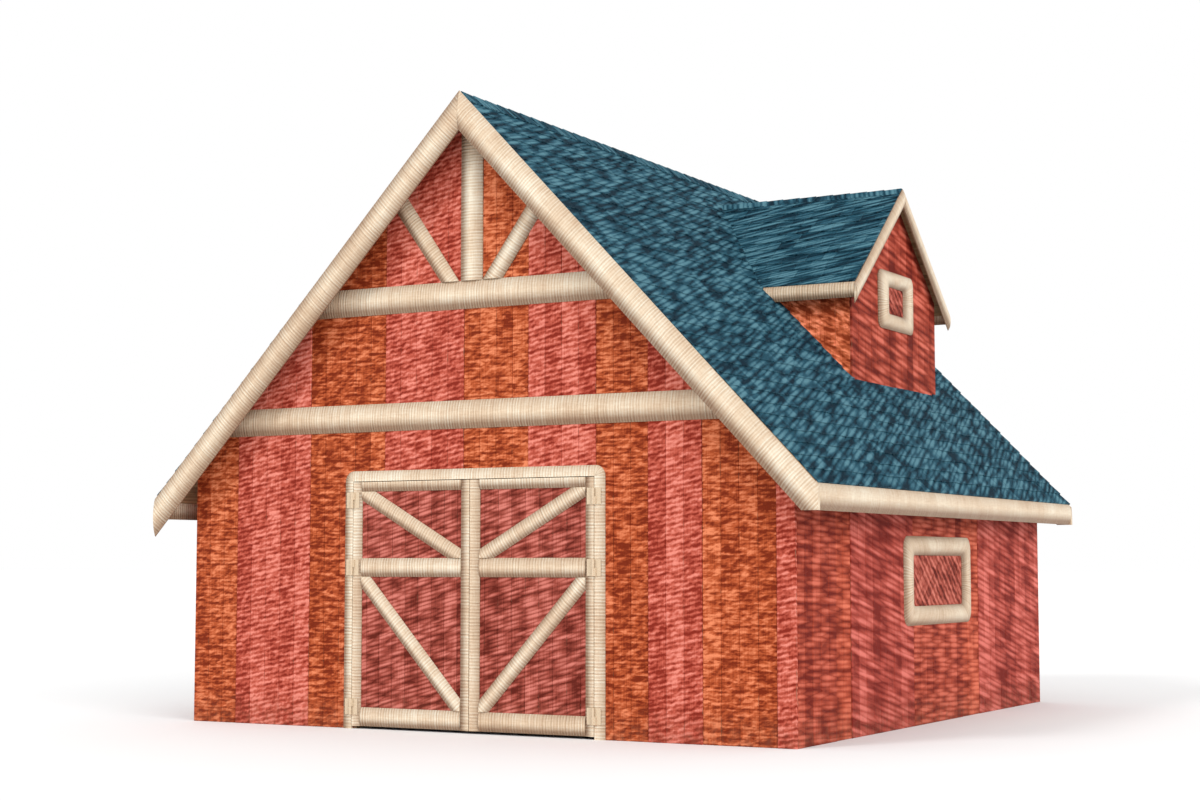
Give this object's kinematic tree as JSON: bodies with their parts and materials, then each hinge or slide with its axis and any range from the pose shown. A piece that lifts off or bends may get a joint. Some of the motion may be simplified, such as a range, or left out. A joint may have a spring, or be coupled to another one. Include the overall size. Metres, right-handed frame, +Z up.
{
  "type": "timber barn",
  "caption": "Gabled red timber barn with a pair of hinged front doors, boarded side windows and a gabled dormer on one roof slope.",
  "frame": {"origin": "centre of the barn's footprint at ground level", "axes": "+Z up, the gable with the doors faces -Y, the side with the dormer faces +X, the ridge runs along Y"},
  "size_m": [8.14, 8.41, 6.7493],
  "materials": {
    "wall_boards": "satin",
    "door_boards": "satin",
    "trim_boards": "satin",
    "roof_shingles": "matte",
    "frame_timber": "matte",
    "hinge_iron": "satin"
  },
  "bodies": {
    "barn": {"side_sills": "frame_timber", "end_sills": "frame_timber", "wall_posts": "frame_timber", "door_posts": "frame_timber", "door_header": "frame_timber", "wall_plates": "frame_timber", "tie_beams": "frame_timber", "wall_girts": "frame_timber", "rafters_left": "frame_timber", "rafters_right": "frame_timber", "ridge_beam": "frame_timber", "front_wall_left": "wall_boards", "front_wall_right": "wall_boards", "front_gable_wall": "wall_boards", "rear_wall": "wall_boards", "left_wall": "wall_boards", "right_wall": "wall_boards", "roof_left": "roof_shingles", "roof_right": "roof_shingles", "front_bargeboards": "trim_boards", "rear_bargeboards": "trim_boards", "eave_fascias": "trim_boards", "front_bands": "trim_boards", "rear_bands": "trim_boards", "gable_truss": "trim_boards", "door_casing_jambs": "trim_boards", "door_casing_head": "trim_boards", "door_pintles": "hinge_iron", "side_window_frames": "trim_boards", "side_window_shutters": "door_boards", "dormer_front_wall": "wall_boards", "dormer_cheeks": "wall_boards", "dormer_roof_front": "roof_shingles", "dormer_roof_rear": "roof_shingles", "dormer_bargeboards": "trim_boards", "dormer_fascias": "trim_boards", "dormer_window_frame": "trim_boards", "dormer_window_shutter": "door_boards"},
    "left_leaf": {"left_door_boards": "door_boards", "left_door_stiles": "trim_boards", "left_door_rails": "trim_boards", "left_door_braces": "trim_boards", "left_door_hinges": "hinge_iron"},
    "right_leaf": {"right_door_boards": "door_boards", "right_door_stiles": "trim_boards", "right_door_rails": "trim_boards", "right_door_braces": "trim_boards", "right_door_hinges": "hinge_iron"}
  },
  "joints": [
    {"name": "left_door", "type": "hinge", "parent": "barn", "child": "left_leaf", "pos_m": [-1.496, -3.949, 0], "axis": [0, 0, -1], "range_deg": [0, 170]},
    {"name": "right_door", "type": "hinge", "parent": "barn", "child": "right_leaf", "pos_m": [1.496, -3.949, 0], "axis": [0, 0, 1], "range_deg": [0, 170]}
  ]
}
